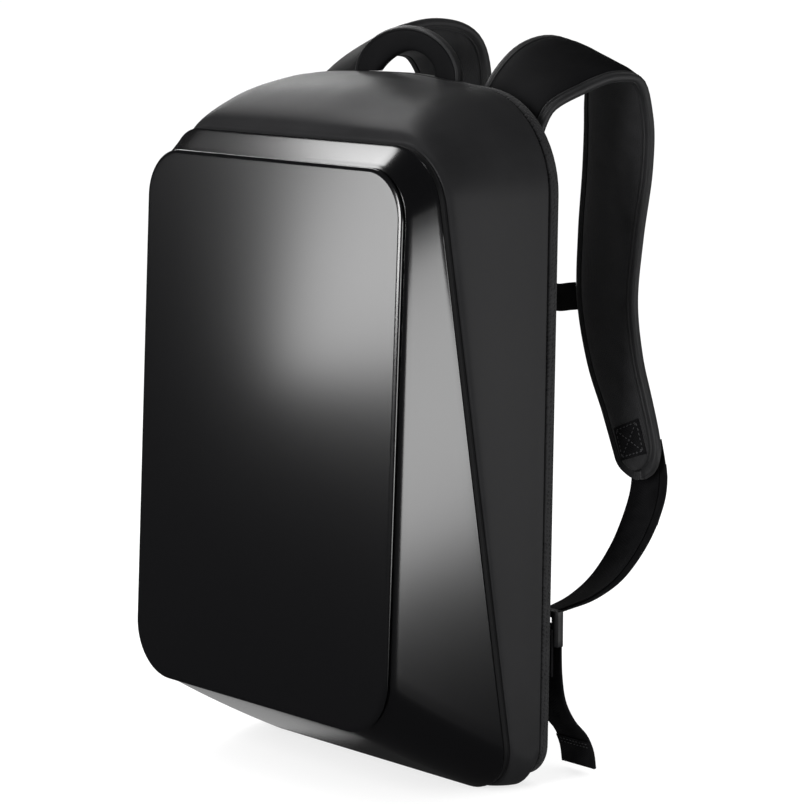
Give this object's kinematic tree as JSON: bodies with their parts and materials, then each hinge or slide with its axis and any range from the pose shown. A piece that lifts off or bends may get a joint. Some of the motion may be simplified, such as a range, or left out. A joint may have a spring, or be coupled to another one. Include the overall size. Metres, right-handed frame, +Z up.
{
  "type": "hard shell backpack",
  "caption": "Laptop backpack with a glossy faceted hard shell and front plate, soft body, padded back panel, grab handle and shoulder straps.",
  "frame": {"origin": "on the ground under the middle of the whole backpack's box, straps included", "axes": "+Z up; -Y is the direction that the front plate faces, the shoulder straps lie on the +Y side; +X is to the right when the plate is looked at"},
  "size_m": [0.3271, 0.302, 0.5289],
  "materials": {
    "plate_gloss": "glossy black moulded plastic, lightly brushed sheen",
    "shell_gloss": "glossy black moulded plastic",
    "piping": "woven cord piping, black",
    "body_fabric": "smooth coated black fabric with a soft sheen",
    "panel_fabric": "black air mesh over foam",
    "strap_fabric": "smooth black fabric over foam with a bound edge",
    "webbing": "black woven webbing",
    "buckle_plastic": "matte black moulded plastic"
  },
  "bodies": {
    "root": {"front_plate": "plate_gloss", "hard_shell": "shell_gloss", "seam_piping": "piping", "body_wall": "body_fabric", "back_panel": "panel_fabric", "grab_handle": "strap_fabric", "shoulder_strap_right": "strap_fabric", "end_tab_right": "webbing", "lower_webbing_right": "webbing", "adjuster_right": "buckle_plastic", "anchor_tab_right": "webbing", "webbing_tail_right": "webbing", "sternum_strap_right": "webbing", "shoulder_strap_left": "strap_fabric", "end_tab_left": "webbing", "lower_webbing_left": "webbing", "adjuster_left": "buckle_plastic", "anchor_tab_left": "webbing", "webbing_tail_left": "webbing", "sternum_strap_left": "webbing", "sternum_buckle": "buckle_plastic"}
  },
  "joints": []
}
